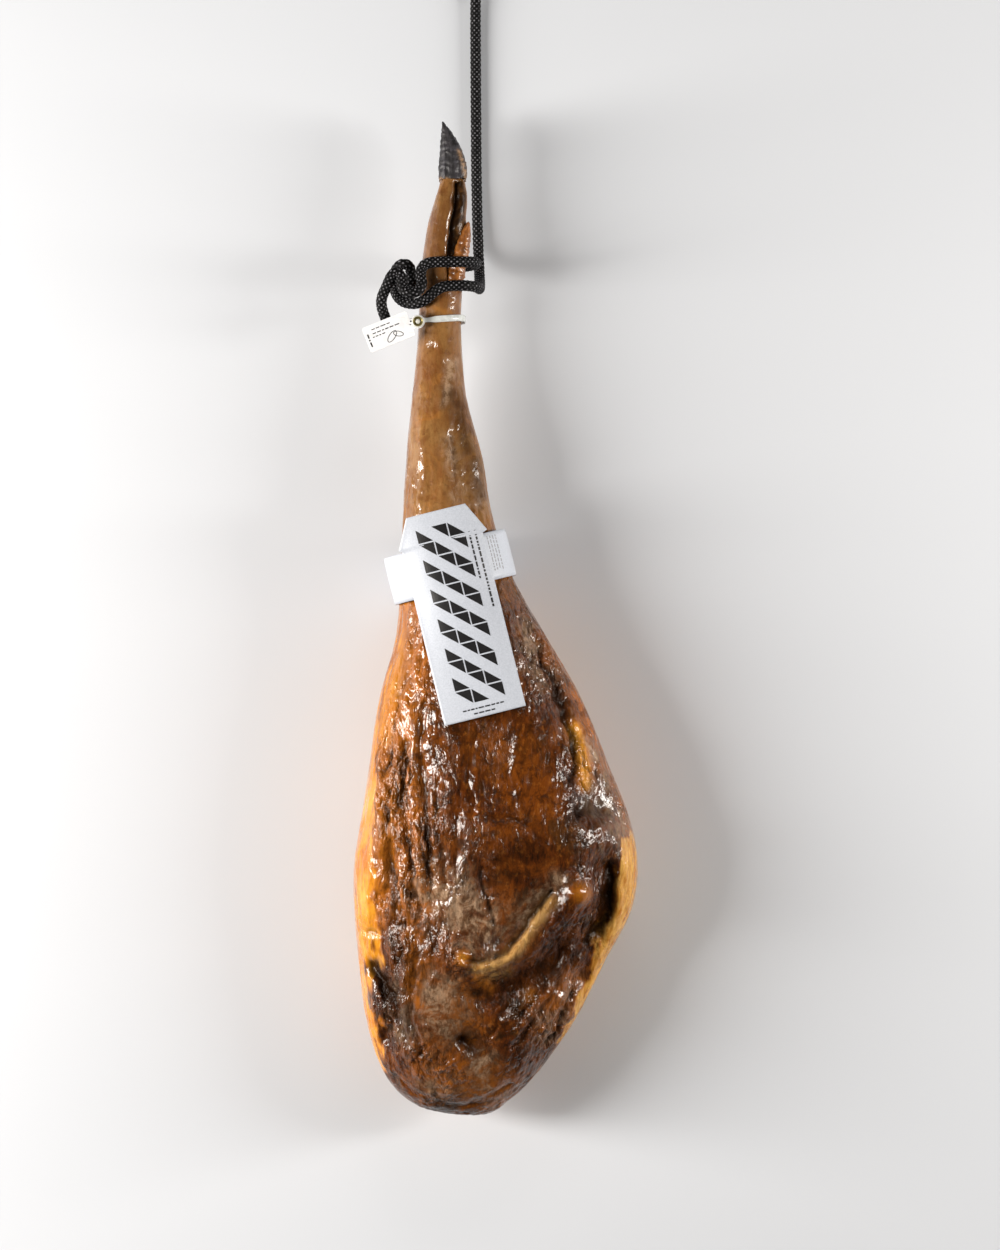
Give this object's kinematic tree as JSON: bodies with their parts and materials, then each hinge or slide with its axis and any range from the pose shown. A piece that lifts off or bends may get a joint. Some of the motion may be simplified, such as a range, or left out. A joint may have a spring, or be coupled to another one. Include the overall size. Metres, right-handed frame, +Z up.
{
  "type": "cured ham",
  "caption": "Whole dry-cured ham on the bone, lying meat side up, with a card label, a plastic seal and a hanging rope.",
  "frame": {"origin": "on the floor under the middle of the ham, hooves included", "axes": "+Y from the rump towards the hoof, +X towards the side where the rope leaves, +Z up out of the meat side"},
  "size_m": [0.2295, 1.0046, 0.139],
  "materials": {
    "ham": "oily cured meat and rind",
    "hoof": "dark fibrous horn",
    "card": "smooth white card with plain dark bars",
    "seal": "white moulded plastic",
    "rivet": "dull brass",
    "rope": "black braid",
    "whipping": "tight black twine"
  },
  "bodies": {
    "root": {"ham": "ham", "hoof_inner": "hoof", "hoof_outer": "hoof", "label": "card", "strap": "seal", "tag": "seal", "rivet": "rivet", "rope_eye": "rope", "rope_lead": "rope", "rope_hitch": "rope", "rope_ferrule": "whipping"}
  },
  "joints": []
}
